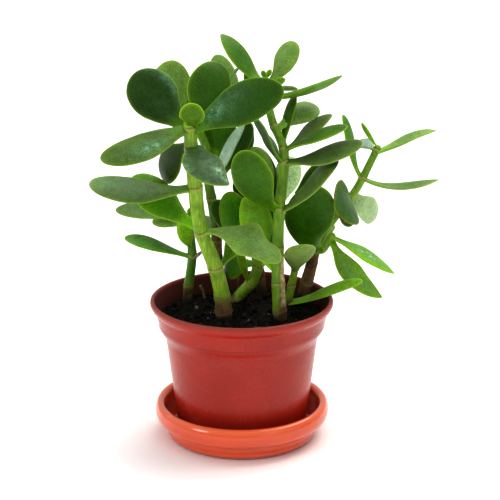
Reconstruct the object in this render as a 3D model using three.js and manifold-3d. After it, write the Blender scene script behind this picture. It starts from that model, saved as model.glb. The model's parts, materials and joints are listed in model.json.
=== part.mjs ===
// A jade plant (a small branching succulent) in a 12 cm nursery pot on its saucer.
// Millimetres, +Z up. The origin is the middle of the saucer's underside, and the
// plant is looked at from its front, which is -Y.

import * as THREE from 'three';
import Module from 'manifold-3d';
import { mergeVertices } from 'three/addons/utils/BufferGeometryUtils.js';

const wasm = await Module();
wasm.setup();

// ---- driving dimensions ----
const GAP = 0.3; // clearance between pieces that touch
const ROUND = 48; // sides of the pot, the saucer and the soil

const SAUCER_FOOT = 48; // radius of the flat disc that the whole thing stands on
const SAUCER_FLOOR = 3.4; // top of the saucer's floor
const SAUCER_INSIDE = 50.4; // radius of the well at its mouth
const BEAD_WIDE = 3.7; // half the width of the fat rolled rim
const BEAD_TALL = 6.2; // half its height
const BEAD_HEIGHT = 17.3; // middle of the rim above the surface it stands on

const POT_FOOT = 42; // outer radius of the pot where it stands
const POT_NECK = 49.6; // outer radius where the taper meets the collar
const POT_LIP = 60; // the widest radius of the lip
const POT_TOP = 93.6; // top of the lip
const WALL = 1.3; // wall of the moulded pot
const POT_BASE = 5.6; // underside of the pot's recessed floor
const DRAIN_HOLES = 6;

const SOIL_TOP = 82; // the potting mix fills the pot to here
const SOIL_CROWN = 1.6; // it is heaped this much higher in the middle

const STEM_SIDES = 8;
const NODE_SWELL = 1.1; // a stem is this much thicker at its leaf joints

// ---- colours ----
const leafGreen = new THREE.Color(0.1, 0.27, 0.05);
const stemGreen = new THREE.Color(0.36, 0.5, 0.1);
const stemBark = new THREE.Color(0.2, 0.16, 0.09);
const soilBlack = new THREE.Color(0.03, 0.025, 0.02);
const potRed = new THREE.Color(0.48, 0.08, 0.05);
const saucerRed = new THREE.Color(0.72, 0.13, 0.05);

const plant = new THREE.Group();

function addPiece(name, geometry, color, roughness) {
  const material = new THREE.MeshStandardMaterial({ color, roughness, metalness: 0 });
  const mesh = new THREE.Mesh(geometry, material);
  mesh.name = name;
  plant.add(mesh);
  return mesh;
}

function closedGeometry(points, triangles) {
  const geometry = new THREE.BufferGeometry();
  geometry.setAttribute('position', new THREE.Float32BufferAttribute(points.flatMap((p) => p.toArray()), 3));
  geometry.setIndex(triangles.flat());
  geometry.computeVertexNormals();
  return geometry;
}

// Skins a row of rings, with one point closing each end.
function skin(rings, firstPole, lastPole) {
  const sides = rings[0].length;
  const points = [firstPole, ...rings.flat(), lastPole];
  const last = points.length - 1;
  const at = (ring, side) => 1 + ring * sides + (side % sides);
  const triangles = [];
  for (let side = 0; side < sides; side++) {
    triangles.push([0, at(0, side + 1), at(0, side)]);
    triangles.push([last, at(rings.length - 1, side), at(rings.length - 1, side + 1)]);
    for (let ring = 0; ring < rings.length - 1; ring++) {
      triangles.push([at(ring, side), at(ring, side + 1), at(ring + 1, side)]);
      triangles.push([at(ring, side + 1), at(ring + 1, side + 1), at(ring + 1, side)]);
    }
  }
  return closedGeometry(points, triangles);
}

// ---- booleans ----
function toSolid(geometry) {
  const bare = geometry.clone();
  bare.deleteAttribute('normal');
  bare.deleteAttribute('uv');
  const merged = mergeVertices(bare, 1e-4);
  const vertProperties = new Float32Array(merged.attributes.position.array);
  const triVerts = new Uint32Array(merged.index.array);
  return new wasm.Manifold(new wasm.Mesh({ numProp: 3, vertProperties, triVerts }));
}

function toGeometry(solid) {
  const mesh = solid.getMesh();
  const geometry = new THREE.BufferGeometry();
  geometry.setAttribute('position', new THREE.Float32BufferAttribute(mesh.vertProperties, 3));
  geometry.setIndex(new THREE.Uint32BufferAttribute(mesh.triVerts, 1));
  geometry.computeVertexNormals();
  return geometry;
}

// ---- turned pieces ----
function turned(profile) {
  const outline = profile.map(([radius, height]) => new THREE.Vector2(radius, height));
  const geometry = new THREE.LatheGeometry(outline, ROUND);
  geometry.rotateX(Math.PI / 2);
  return geometry;
}

function arcPoints(radius, height, wide, tall, from, to, steps) {
  const points = [];
  for (let step = 0; step <= steps; step++) {
    const angle = THREE.MathUtils.degToRad(from + ((to - from) * step) / steps);
    points.push([radius + wide * Math.cos(angle), height + tall * Math.sin(angle)]);
  }
  return points;
}

function saucerGeometry() {
  const beadMiddle = SAUCER_INSIDE + BEAD_WIDE;
  const outside = [[0, 0], [SAUCER_FOOT, 0], [50.2, 2.6], [50.9, 9.6]];
  const bead = arcPoints(beadMiddle, BEAD_HEIGHT, BEAD_WIDE, BEAD_TALL, -70, 180, 10);
  const inside = [[48.7, SAUCER_FLOOR + 1.4], [47.6, SAUCER_FLOOR], [0, SAUCER_FLOOR]];
  return turned([...outside, ...bead, ...inside]);
}

// The pot's outside, from the foot up to the lip, and the matching inside.
const potOutside = [[POT_FOOT, SAUCER_FLOOR + GAP], [POT_NECK, 66.5], [51.2, 70.8], [53.9, 75.2],
  [55.1, 79.5], [56.3, 85.6], [58.8, 88.4], [POT_LIP, 91], [59.6, 93.1], [58.6, POT_TOP]];
const potInside = [[57.3, 93.3], [56.4, 90.6], [55, 86], [53.8, 80], [52.5, 75.4],
  [49.8, 70.6], [POT_NECK - WALL, 66.2], [40.9, POT_BASE + WALL + 1]];

function potGeometry() {
  const floor = [[40, POT_BASE + WALL], [0, POT_BASE + WALL]];
  const under = [[0, POT_BASE], [39.6, POT_BASE], [40.2, SAUCER_FLOOR + GAP]];
  let solid = toSolid(turned([...under, ...potOutside, ...potInside, ...floor]));
  const hole = new THREE.CylinderGeometry(3.4, 3.4, 8, 12).rotateX(Math.PI / 2);
  for (let i = 0; i <= DRAIN_HOLES; i++) {
    const angle = (i * 2 * Math.PI) / DRAIN_HOLES;
    const reach = i < DRAIN_HOLES ? 27 : 0;
    const cutter = hole.clone().translate(reach * Math.cos(angle), reach * Math.sin(angle), POT_BASE);
    solid = solid.subtract(toSolid(cutter));
  }
  return toGeometry(solid);
}

// ---- stems ----
// A route is a list of [x, y, z, radius] from below the soil to the growing tip.
class Stem {
  constructor(name, route, joints) {
    this.name = name;
    this.route = route;
    this.joints = joints;
    this.curve = new THREE.CatmullRomCurve3(route.map(([x, y, z]) => new THREE.Vector3(x, y, z)));
  }

  place(height) {
    let low = 0;
    let high = 1;
    for (let step = 0; step < 30; step++) {
      const middle = (low + high) / 2;
      if (this.curve.getPoint(middle).z < height) low = middle;
      else high = middle;
    }
    return low;
  }

  radius(along) {
    const spot = along * (this.route.length - 1);
    const before = Math.min(Math.floor(spot), this.route.length - 2);
    return THREE.MathUtils.lerp(this.route[before][3], this.route[before + 1][3], spot - before);
  }

  // One ring at every joint and one half-way between joints, with rounded ends.
  geometry(grow) {
    const ends = [this.route[0][2] + 1.5, ...this.joints, this.route.at(-1)[2] - 1];
    const heights = [];
    for (let i = 0; i < ends.length; i++) {
      heights.push([ends[i], i > 0 && i < ends.length - 1 ? NODE_SWELL : 1]);
      if (i < ends.length - 1) heights.push([(ends[i] + ends[i + 1]) / 2, 1]);
    }
    const rings = heights.map(([height, swell]) => {
      const along = this.place(height);
      const centre = this.curve.getPoint(along);
      const tangent = this.curve.getTangent(along);
      const sideways = new THREE.Vector3(1, 0, 0).projectOnPlane(tangent).normalize();
      const across = new THREE.Vector3().crossVectors(tangent, sideways);
      const size = this.radius(along) * swell + grow;
      return ringOf(STEM_SIDES, (angle) => centre.clone()
        .addScaledVector(sideways, size * Math.cos(angle))
        .addScaledVector(across, size * Math.sin(angle)));
    });
    return skin(rings, this.curve.getPoint(0), this.curve.getPoint(1));
  }
}

function ringOf(sides, pointAt) {
  return Array.from({ length: sides }, (_, i) => pointAt((i * 2 * Math.PI) / sides));
}

const frontLeft = new Stem('stem_front_left',
  [[-11, -8, 70, 5.5], [-12.5, -11, 97, 5.1], [-17, -13, 119, 4.8], [-26, -16, 145, 4.5],
    [-29, -19, 173, 4.6], [-31, -21, 199, 4.3], [-32, -22, 217, 3.9]],
  [88, 98, 118, 143, 173, 199, 211]);
const centre = new Stem('stem_centre',
  [[26, -12, 70, 4.8], [24, -14, 98, 4.3], [23, -13, 128, 3.9], [24, -12, 158, 3.5], [27, -9, 187, 3.1],
    [26, -7, 197, 2.8], [20, -3, 210, 2.5], [16, 0, 227, 2.4], [15, 1, 239, 2.1]],
  [90, 108, 132, 158, 187, 195, 209, 226, 235]);
const right = new Stem('stem_right',
  [[39, 23, 70, 4.5], [43, 24, 95, 4.2], [47, 26, 110, 3.9], [50, 28, 121, 3.3], [57, 31, 133, 2.9],
    [66, 35, 144, 2.8], [74, 39, 153, 2.7], [80, 41, 163, 2.6], [85, 43, 173, 2.5], [91, 46, 185, 2.3]],
  [96, 119, 134, 149, 164, 182]);
const rightSpur = new Stem('branch_right_low',
  [[53.5, 22, 119, 2.6], [57, 22, 125, 2.6], [60.5, 22, 131, 2.6]],
  [124, 129]);
const left = new Stem('stem_left',
  [[-38, 23, 70, 3.4], [-36, 23, 92, 3.2], [-33, 22, 115, 3], [-34, 21, 130, 2.8], [-35, 20, 144, 2.2]],
  [95, 116, 130, 140]);
const backLeft = new Stem('stem_back_left',
  [[-15, 32, 72, 3.7], [-16, 33, 102, 3.5], [-17, 33, 123, 3.4], [-19, 31, 145, 3.3],
    [-22, 30, 164, 3.1], [-23, 31, 185, 2.9], [-30, 33, 202, 2.7], [-35, 35, 218, 2.3]],
  [100, 123, 153, 173, 200, 213]);
const middle = new Stem('shoot_middle',
  [[-9, 24, 72, 3.5], [-3, 23, 86, 3.7], [6, 20, 97, 3.7], [10, 17, 107, 3.6], [11, 15, 117, 3],
    [11, 15, 128, 2.4]],
  [84, 97, 110, 124]);
const rightShoot = new Stem('shoot_right',
  [[29, 17, 72, 2.8], [31, 17, 86, 2.7], [33, 16, 97, 2.6], [36, 14, 113, 2.2]],
  [85, 97, 109]);
const back = new Stem('stem_back',
  [[14, 42, 72, 3.7], [12, 42, 96, 3.5], [7, 40, 121, 3.3], [2, 38, 150, 3.1],
    [1, 36, 177, 2.9], [3, 34, 203, 2.7], [2, 32, 231, 2.2]],
  [98, 124, 150, 177, 203, 226]);
const stems = [frontLeft, centre, right, rightSpur, left, backLeft, middle, rightShoot, back];
const woody = [right, backLeft];

function soilGeometry() {
  const bottom = POT_BASE + WALL + GAP;
  const inside = potInside.filter(([, height]) => height < SOIL_TOP);
  const wall = [...inside].reverse().map(([radius, height]) => [radius - GAP, height]);
  const crown = [[53.8 - GAP, SOIL_TOP - 1], [50, SOIL_TOP], [30, SOIL_TOP + SOIL_CROWN * 0.7],
    [0, SOIL_TOP + SOIL_CROWN]];
  let solid = toSolid(turned([[0, bottom], [39.6, bottom], ...wall, ...crown]));
  for (const stem of stems) {
    if (stem !== rightSpur) solid = solid.subtract(toSolid(stem.geometry(GAP)));
  }
  return toGeometry(solid);
}

// ---- leaves ----
// A leaf is a thick paddle: a narrow neck, its widest point past the middle, a blunt round tip.
// It grows from `stem` at `height` and ends at `tip`, and `wide` is its full width. In `shape`:
//   face    the way its upper side looks
//   arch    how far it bows up, and sweep towards its left edge, as shares of its length
//   cup     how far both edges lift, as a share of its half width
//   neck    the width of its neck, as a share of its width
//   belly   where it is widest, from 0 at the stem to 1 at the tip
//   point   0 for a round tip, 1 for a pointed one
//   thick   its thickness, in millimetres
//   lift    1 where it leaves the stem square to it, 0 where it sets off straight for its tip
const leafStations = [0.05, 0.17, 0.31, 0.45, 0.59, 0.73, 0.86, 0.955]; // sections along the leaf
const leafEdge = [1, 0.62, 0, -0.62, -1, -0.54, 0, 0.54]; // across the leaf, once round a section
const leafSide = [0, 1, 1, 1, 0, -1, -1, -1]; // which of those points are on the upper side
const UPPER_SHARE = 0.4; // the upper side is flatter than the underside

function leafGeometry(stem, height, tip, wide, shape) {
  const { face = [0, 0, 1], arch = 0.05, sweep = 0, cup = 0 } = shape;
  const { neck = 0.27, belly = 0.62, point = 0, thick = 1.6 + wide * 0.12, lift = 0.5 } = shape;
  const along = stem.place(height);
  const heart = stem.curve.getPoint(along);
  const tangent = stem.curve.getTangent(along);
  const end = new THREE.Vector3(...tip);
  const outward = end.clone().sub(heart).projectOnPlane(tangent).normalize();
  const start = heart.clone().addScaledVector(outward, stem.radius(along) * NODE_SWELL + GAP);
  const chord = end.clone().sub(start);
  const length = chord.length();
  chord.normalize();
  const upper = new THREE.Vector3(...face).projectOnPlane(chord).normalize();
  const leftward = new THREE.Vector3().crossVectors(upper, chord);
  const pull = length / 0.75; // moving both inner control points by this moves the middle by a length
  const bow = upper.clone().multiplyScalar(arch * pull).addScaledVector(leftward, sweep * pull);
  const leaving = outward.clone().lerp(chord, 1 - lift).normalize();
  const first = start.clone().addScaledVector(leaving, length / 3).add(bow);
  const second = end.clone().addScaledVector(chord, -length / 3).add(bow);
  const spine = new THREE.CubicBezierCurve3(start, first, second, end);

  const rings = leafStations.map((u) => {
    const middlePoint = spine.getPoint(u);
    const heading = spine.getTangent(u);
    const up = upper.clone().projectOnPlane(heading).normalize();
    const across = new THREE.Vector3().crossVectors(up, heading);
    const spread = u < belly
      ? neck + (1 - neck) * Math.sin((Math.PI / 2) * (u / belly)) ** 2
      : (1 - ((u - belly) / (1 - belly)) ** 2) ** (0.5 + 0.45 * point);
    const half = (wide / 2) * spread;
    const body = thick * Math.sqrt(Math.min(1, 0.45 + 0.55 * spread)) * Math.min(1, (1.06 - u) * 4);
    return leafEdge.map((v, i) => {
      const dome = body * (1 - v * v);
      const rise = (leafSide[i] > 0 ? UPPER_SHARE : UPPER_SHARE - 1) * dome;
      return middlePoint.clone()
        .addScaledVector(across, half * v)
        .addScaledVector(up, leafSide[i] === 0 ? cup * half : rise + cup * half * v * v);
    });
  });
  return skin(rings, spine.getPoint(0), spine.getPoint(1));
}

const leaves = [];
function grow(stem, family, rows) {
  rows.forEach(([height, tip, wide, shape], i) => {
    leaves.push({ name: `leaf_${family}_${i + 1}`, geometry: leafGeometry(stem, height, tip, wide, shape) });
  });
}

// Each row is a leaf: height of its joint on the stem, its tip, its width, and how it is held.
grow(frontLeft, 'front_left', [
  [118, [1, 4, 139], 13, { face: [-0.3, -1, 0.3] }],
  [143, [24, -48, 133], 22, { face: [0.1, -0.6, 1], arch: 0.12 }],
  [148, [-71, 6, 173], 24, { face: [0, -0.9, 0.8] }],
  [173, [-94, -32, 178], 26, { face: [0, -0.5, 1], arch: -0.04 }],
  [199, [-51, 12, 170], 20, { face: [-0.4, -1, 0.3], belly: 0.52 }],
  [199, [-7, -56, 184], 24, { face: [0.1, -0.7, 1], sweep: -0.14, belly: 0.42, neck: 0.5, point: 0.6 }],
  [211, [-86, -38, 196], 24, { face: [0.1, -0.6, 1], arch: -0.01, sweep: 0.06, belly: 0.5, neck: 0.4 }],
  [213, [26, -32, 237], 27, { face: [-0.2, -1, 0.4], sweep: 0.045, belly: 0.56, neck: 0.36 }],
  [214, [-67, -2, 242], 31, { face: [0.2, -1, 0.3], belly: 0.57, neck: 0.32 }],
  [214, [-15, 4, 248], 27, { face: [0, -1, 0.2], belly: 0.57, neck: 0.4 }],
  [215, [-30, -31, 229], 15.5, { face: [0, -1, 0.5], belly: 0.5, neck: 0.5 }],
]);
grow(centre, 'centre', [
  [121, [1, -8, 163], 23, { face: [0.5, -1, 0.3], sweep: -0.1, lift: 0.8 }],
  [158, [0, -34, 200], 25, { face: [-0.3, -1, 0.3] }],
  [158, [60, -30, 192], 22, { face: [-0.5, -0.3, 0.8] }],
  [160, [7, 6, 192], 20, { face: [-0.3, -1, 0.3] }],
  [161, [32, 10, 186], 17, { face: [0, -1, 0.2] }],
  [187, [74, -36, 204], 22, { face: [-0.1, -0.5, 1], arch: 0 }],
  [189, [6, -18, 220], 17, { face: [0.6, 0.2, 1] }],
  [195, [57, 8, 214], 17, { face: [-0.2, -0.1, 1] }],
  [195, [65, -28, 213], 19, { face: [-0.2, -0.25, 1], arch: 0.04 }],
  [207, [48, 16, 218], 19, { face: [0, -0.7, 1] }],
  [226, [64, 12, 238], 18, { face: [-0.2, 0.42, 1], arch: -0.04, thick: 4.4 }],
  [236, [-13, 14, 264], 17, { face: [0.3, -0.5, 1], neck: 0.35, belly: 0.52, point: 0.4 }],
  [236, [34, 8, 260], 15.5, { face: [-0.3, -0.9, 0.5] }],
]);
grow(right, 'right', [
  [119, [53, -2, 168], 32, { face: [-0.1, -1, 0.2], sweep: 0.12, neck: 0.4 }],
  [134, [58, 14, 149], 14, { face: [-0.7, -0.3, 1] }],
  [149, [59.5, -8, 155], 31, { face: [1, 0.3, 0.35], cup: 0.2, belly: 0.56 }],
  [152, [93, 72, 128], 18, { face: [0.2, -1, 0.3], neck: 0.5, belly: 0.55 }],
  [164, [131, 40, 163], 15, { face: [0, -0.05, 1], arch: -0.06, neck: 0.4, point: 0.6 }],
  [165, [67, 50, 205], 14, { face: [1, -0.5, 0.2] }],
  [182, [78, 64, 184], 14, { face: [0, -0.6, 1] }],
  [183, [129, 46, 195], 14, { face: [-0.1, -0.15, 1], arch: 0.1, neck: 0.5, belly: 0.5, point: 0.5 }],
]);
grow(rightSpur, 'right_low', [
  [126, [92, 2, 93], 20, { face: [0.5, -0.7, 1], arch: -0.04, sweep: -0.09, belly: 0.48, point: 0.7 }],
  [129, [102, 25, 102], 15, { face: [0.5, -0.4, 1], arch: 0.02, neck: 0.3, belly: 0.5, point: 0.6 }],
]);
grow(left, 'left', [
  [116, [-77, 14, 130], 16, { face: [0.1, -0.3, 1] }],
  [124, [-39, 2, 146], 10, { face: [0, -1, 0.2] }],
  [137, [-59, 34, 138], 16, { face: [0, -0.6, 1] }],
  [141, [-84, 36, 144], 18, { face: [0, -0.4, 1] }],
]);
grow(backLeft, 'back_left', [
  [169, [2, 7, 207], 15, { face: [-0.8, -0.45, 0.45], neck: 0.45, belly: 0.5 }],
  [182, [-13, 40, 207], 25, { face: [-0.2, -1, 0.3], neck: 0.4, belly: 0.5 }],
  [200, [-77, 58, 185], 14, { face: [0.2, -0.3, 1] }],
  [203, [1, 30, 243], 12, { face: [-0.7, 0.1, 0.7] }],
  [210, [-49, 36, 243], 26, { face: [0.2, -1, 0.3], lift: 0.9 }],
]);
grow(middle, 'middle', [
  [110, [-12, 38, 100], 16, { face: [-0.2, -1, 0.4] }],
  [124, [-10, 6, 163], 21, { face: [0.2, -1, 0.2] }],
]);
grow(rightShoot, 'right_shoot', [
  [86, [78, -10, 108], 12, { face: [-0.3, -0.4, 1], belly: 0.7, neck: 0.5 }],
  [110, [39, -34, 140], 20, { face: [0, -0.3, 1] }],
]);
grow(back, 'back', [
  [203, [-17, 50, 245], 18, { face: [0.2, -1, 0.3] }],
]);

// ---- assembly ----
addPiece('saucer', saucerGeometry(), saucerRed, 0.35);
addPiece('pot', potGeometry(), potRed, 0.45);
addPiece('soil', soilGeometry(), soilBlack, 0.95);
for (const stem of stems) {
  addPiece(stem.name, stem.geometry(0), woody.includes(stem) ? stemBark : stemGreen, 0.6);
}
for (const leaf of leaves) {
  addPiece(leaf.name, leaf.geometry, leafGreen, 0.4);
}

export default plant;
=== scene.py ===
import json
import math

import bmesh
import bpy
import numpy as np
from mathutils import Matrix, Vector, noise

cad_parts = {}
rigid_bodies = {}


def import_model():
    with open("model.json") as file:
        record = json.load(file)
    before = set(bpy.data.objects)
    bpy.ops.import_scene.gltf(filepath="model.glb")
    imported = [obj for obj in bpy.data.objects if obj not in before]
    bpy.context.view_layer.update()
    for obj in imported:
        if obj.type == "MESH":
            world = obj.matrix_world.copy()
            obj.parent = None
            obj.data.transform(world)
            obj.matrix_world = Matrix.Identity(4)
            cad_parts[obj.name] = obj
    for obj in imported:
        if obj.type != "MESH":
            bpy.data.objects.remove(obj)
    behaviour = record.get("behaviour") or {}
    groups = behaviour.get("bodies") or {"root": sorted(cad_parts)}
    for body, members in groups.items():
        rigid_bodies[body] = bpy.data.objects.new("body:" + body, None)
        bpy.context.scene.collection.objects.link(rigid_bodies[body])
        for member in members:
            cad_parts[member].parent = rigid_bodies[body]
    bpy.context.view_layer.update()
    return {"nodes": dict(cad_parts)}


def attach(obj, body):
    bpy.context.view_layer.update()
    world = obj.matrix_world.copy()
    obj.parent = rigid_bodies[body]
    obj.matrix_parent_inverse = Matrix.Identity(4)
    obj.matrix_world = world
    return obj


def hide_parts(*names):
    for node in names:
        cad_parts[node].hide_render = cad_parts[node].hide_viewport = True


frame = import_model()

# A jade plant in its nursery pot, on a glazed saucer. Metres, +Z up, seen from -Y.
mm = 0.001


def smooth(low, high, value):
    t = np.clip((np.asarray(value, float) - low) / (high - low), 0, 1)
    return t * t * (3 - 2 * t)


def unit(vectors):
    vectors = np.asarray(vectors, float)
    return vectors / np.maximum(np.linalg.norm(vectors, axis=-1, keepdims=True), 1e-12)


def through(places, values, at):
    # a smooth line through the values, read at each of the places asked for
    places, values, at = np.asarray(places, float), np.asarray(values, float), np.asarray(at, float)
    flat = values.reshape(len(values), -1)
    slope = np.empty_like(flat)
    step = np.diff(places)[:, None]
    rise = np.diff(flat, axis=0) / step
    slope[0], slope[-1] = rise[0], rise[-1]
    slope[1:-1] = (rise[:-1] * step[1:] + rise[1:] * step[:-1]) / (step[1:] + step[:-1])
    k = np.clip(np.searchsorted(places, at) - 1, 0, len(places) - 2)
    h = (places[k + 1] - places[k])[:, None]
    t = ((at - places[k])[:, None]) / h
    out = ((1 + 2 * t) * (1 - t) ** 2 * flat[k] + t * (1 - t) ** 2 * h * slope[k]
           + t * t * (3 - 2 * t) * flat[k + 1] + t * t * (t - 1) * h * slope[k + 1])
    return out.reshape((len(at),) + values.shape[1:])


def lengthAlong(line):
    return np.concatenate([[0], np.cumsum(np.linalg.norm(np.diff(line, axis=0), axis=1))])


def circle(sides):
    return np.arange(sides) * 2 * math.pi / sides


def ringRound(side, other, turn):
    # which way each point of each ring lies from the ring's middle
    return side[:, None] * np.cos(turn)[None, :, None] + other[:, None] * np.sin(turn)[None, :, None]


def spotsRound(middle, ring, radius):
    return (middle[:, None] + ring * radius[..., None]).reshape(-1, 3)


def bumpy(points, size, seed, octaves=3):
    # fractal noise at each point, about -1 to 1; size is in metres
    shift = Vector((seed, seed * 1.7, seed * 0.3))
    return np.array([noise.fractal(Vector(p) / size + shift, 1.0, 2.0, octaves) for p in points])


class Wire:
    # an output socket that does its arithmetic with Math nodes
    def __init__(self, bench, socket):
        self.bench, self.socket = bench, socket

    def maths(self, operation, *values):
        return self.bench.add("ShaderNodeMath", {"operation": operation}, dict(enumerate(values)))

    def __add__(self, other):
        return self.maths("ADD", self, other)

    def __radd__(self, other):
        return self.maths("ADD", other, self)

    def __sub__(self, other):
        return self.maths("SUBTRACT", self, other)

    def __rsub__(self, other):
        return self.maths("SUBTRACT", other, self)

    def __mul__(self, other):
        return self.maths("MULTIPLY", self, other)

    def __rmul__(self, other):
        return self.maths("MULTIPLY", other, self)

    def absolute(self):
        return self.maths("ABSOLUTE", self)

    def between(self, low, high):
        # 0 at low and 1 at high, eased at both ends; low may be the larger
        return self.bench.add("ShaderNodeMapRange", {"interpolation_type": "SMOOTHSTEP"},
                               {"Value": self, "From Min": low, "From Max": high})


class Bench:
    # adds nodes to one node tree
    def __init__(self, tree):
        self.tree = tree

    def plug(self, socket, value):
        if isinstance(value, Wire):
            self.tree.links.new(value.socket, socket)
        elif socket.type == "RGBA" and len(value) == 3:
            socket.default_value = (*value, 1)
        else:
            socket.default_value = value

    def add(self, kind, settings=None, values=None, out=0):
        node = self.tree.nodes.new(kind)
        for key, value in (settings or {}).items():
            setattr(node, key, value)
        for key, value in (values or {}).items():
            self.plug(node.inputs[key], value)
        return Wire(self, node.outputs[out])


class Finish(Bench):
    # one material: constants go straight on the shader's sockets
    def __init__(self, name, **constants):
        self.material = bpy.data.materials.new(name)
        self.material.use_nodes = True
        super().__init__(self.material.node_tree)
        self.shader = self.tree.nodes["Principled BSDF"]
        self.set(**constants)

    def set(self, **values):
        for key, value in values.items():
            self.plug(self.shader.inputs[key.replace("_", " ")], value)

    def marked(self, name):
        return self.add("ShaderNodeAttribute", {"attribute_name": name}, out="Fac")

    def place(self, stretch=(1, 1, 1)):
        spot = self.add("ShaderNodeTexCoord", out="Object")
        return self.add("ShaderNodeMapping", {"vector_type": "POINT"}, {"Vector": spot, "Scale": stretch})

    def cloud(self, scale, detail=3.0, roughness=0.55, at=None):
        return self.add("ShaderNodeTexNoise", None, {
            "Vector": at or self.place(), "Scale": scale, "Detail": detail, "Roughness": roughness})

    def cells(self, scale, at=None, out="Distance"):
        return self.add("ShaderNodeTexVoronoi", None, {"Vector": at or self.place(), "Scale": scale}, out=out)

    def mix(self, factor, first, second, how="MIX"):
        settings = {"data_type": "RGBA", "blend_type": how, "clamp_factor": True}
        return self.add("ShaderNodeMix", settings, {0: factor, 6: first, 7: second}, out=2)

    def bump(self, height, strength, distance, under=None):
        values = {"Height": height, "Strength": strength, "Distance": distance}
        if under is not None:
            values["Normal"] = under
        return self.add("ShaderNodeBump", None, values)


def makePiece(name, points, faces, finish, marks=None, replaces=()):
    mesh = bpy.data.meshes.new(name)
    mesh.from_pydata([tuple(p) for p in points], [], [tuple(int(i) for i in f) for f in faces])
    mesh.update()
    for key, values in (marks or {}).items():
        mark = mesh.attributes.new(key, "FLOAT", "POINT")
        mark.data.foreach_set("value", np.asarray(values, np.float32))
    mesh.polygons.foreach_set("use_smooth", [True] * len(mesh.polygons))
    piece = bpy.data.objects.new(name, mesh)
    bpy.context.scene.collection.objects.link(piece)
    mesh.materials.append(finish.material)
    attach(piece, "root")
    if replaces:
        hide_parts(*replaces)


def tubeFaces(rings, sides):
    # skins rings laid one after another; the points that close the start and the end come after them
    faces = []
    for r in range(rings - 1):
        for s in range(sides):
            n = (s + 1) % sides
            faces.append((r * sides + s, r * sides + n, (r + 1) * sides + n, (r + 1) * sides + s))
    start, end, top = rings * sides, rings * sides + 1, (rings - 1) * sides
    faces += [(start, (s + 1) % sides, s) for s in range(sides)]
    faces += [(end, top + s, top + (s + 1) % sides) for s in range(sides)]
    return faces


class Heap:
    # several small meshes gathered into one piece
    def __init__(self):
        self.points, self.faces, self.marks, self.count = [], [], {}, 0

    def put(self, points, faces, marks=None):
        self.faces += [tuple(i + self.count for i in f) for f in faces]
        self.points.append(np.asarray(points, float))
        for key, values in (marks or {}).items():
            self.marks.setdefault(key, []).append(np.broadcast_to(values, (len(points),)))
        self.count += len(points)

    def make(self, name, finish, slot, replaces=()):
        marks = {key: np.concatenate(parts) for key, parts in self.marks.items()}
        makePiece(name, np.concatenate(self.points), self.faces, finish, marks, replaces)


cadSides = 8  # how many points go round each section of a CAD stem or leaf
weldGap = 0.02 * mm


def ringsOf(node, nearFirst):
    # the sections of a CAD stem or leaf, from one closing point to the other
    work = bmesh.new()
    work.from_mesh(frame["nodes"][node].data)
    bmesh.ops.remove_doubles(work, verts=work.verts, dist=weldGap)
    work.verts.ensure_lookup_table()
    work.verts.index_update()
    points = np.array([v.co[:] for v in work.verts])
    near = [{e.other_vert(v).index for e in v.link_edges} for v in work.verts]
    work.free()
    poles = [i for i, links in enumerate(near) if len(links) == cadSides]
    first, last = sorted(poles, key=lambda i: nearFirst(points[i]))
    # steps from one closing point to the other, and walks round the points met at each step
    seen, level, rings = {first}, {first}, []
    while True:
        level = {j for i in level for j in near[i]} - seen - {last}
        if not level:
            break
        seen |= level
        walk = [min(level)]
        while len(walk) < len(level):
            walk.append(min((near[walk[-1]] & level) - set(walk)))
        rings.append(points[walk])
    rings = np.array(rings)
    middle = rings.mean(1)
    line = np.concatenate([[points[first]], middle, [points[last]]])
    heading = unit(line[2:] - line[:-2])
    # turns every ring the same way round and lines up where they start
    for k, ring in enumerate(rings):
        arm = ring - middle[k]
        turn = np.cross(arm, np.roll(arm, -1, 0)).sum(0) @ heading[k]
        if turn < 0:
            ring = ring[::-1]
        if k:
            shift = min(range(cadSides), key=lambda s: ((np.roll(ring, -s, 0) - rings[k - 1]) ** 2).sum())
            ring = np.roll(ring, -shift, 0)
        rings[k] = ring
    return points[first], rings, points[last]


view = {"place": (0.0054, -0.9292, 0.4085), "down": 16.9, "lens": 108, "sensor": 36}

camera = bpy.data.objects.new("camera", bpy.data.cameras.new("camera"))
bpy.context.scene.collection.objects.link(camera)
camera.location = view["place"]
camera.rotation_euler = (math.radians(90 - view["down"]), 0, 0)
camera.data.lens, camera.data.sensor_width = view["lens"], view["sensor"]
bpy.context.scene.camera = camera

light = {
    "front": 0.16, "behind": 0.62, "above": 0.30,  # how bright the room is to each side of the table
    "exposure": 0.15, "gamma": 0.85,
    "distance": 1.5,  # how far off the lamps stand
    "suns": [  # name, where it shines from, strength, how wide it looks in degrees, colour
        ("window", (0.36, 0.38, 1.1), 2.5, 48, (1, 0.99, 0.97)),
        ("reflector", (-0.55, -0.75, 0.75), 1.22, 150, (1, 1, 1)),
        ("panel", (0.80, -0.60, 0.10), 0.42, 60, (1, 1, 1)),
        ("strip", (-0.80, -0.50, 0.50), 0.55, 20, (1, 1, 1)),
    ],
}

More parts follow.
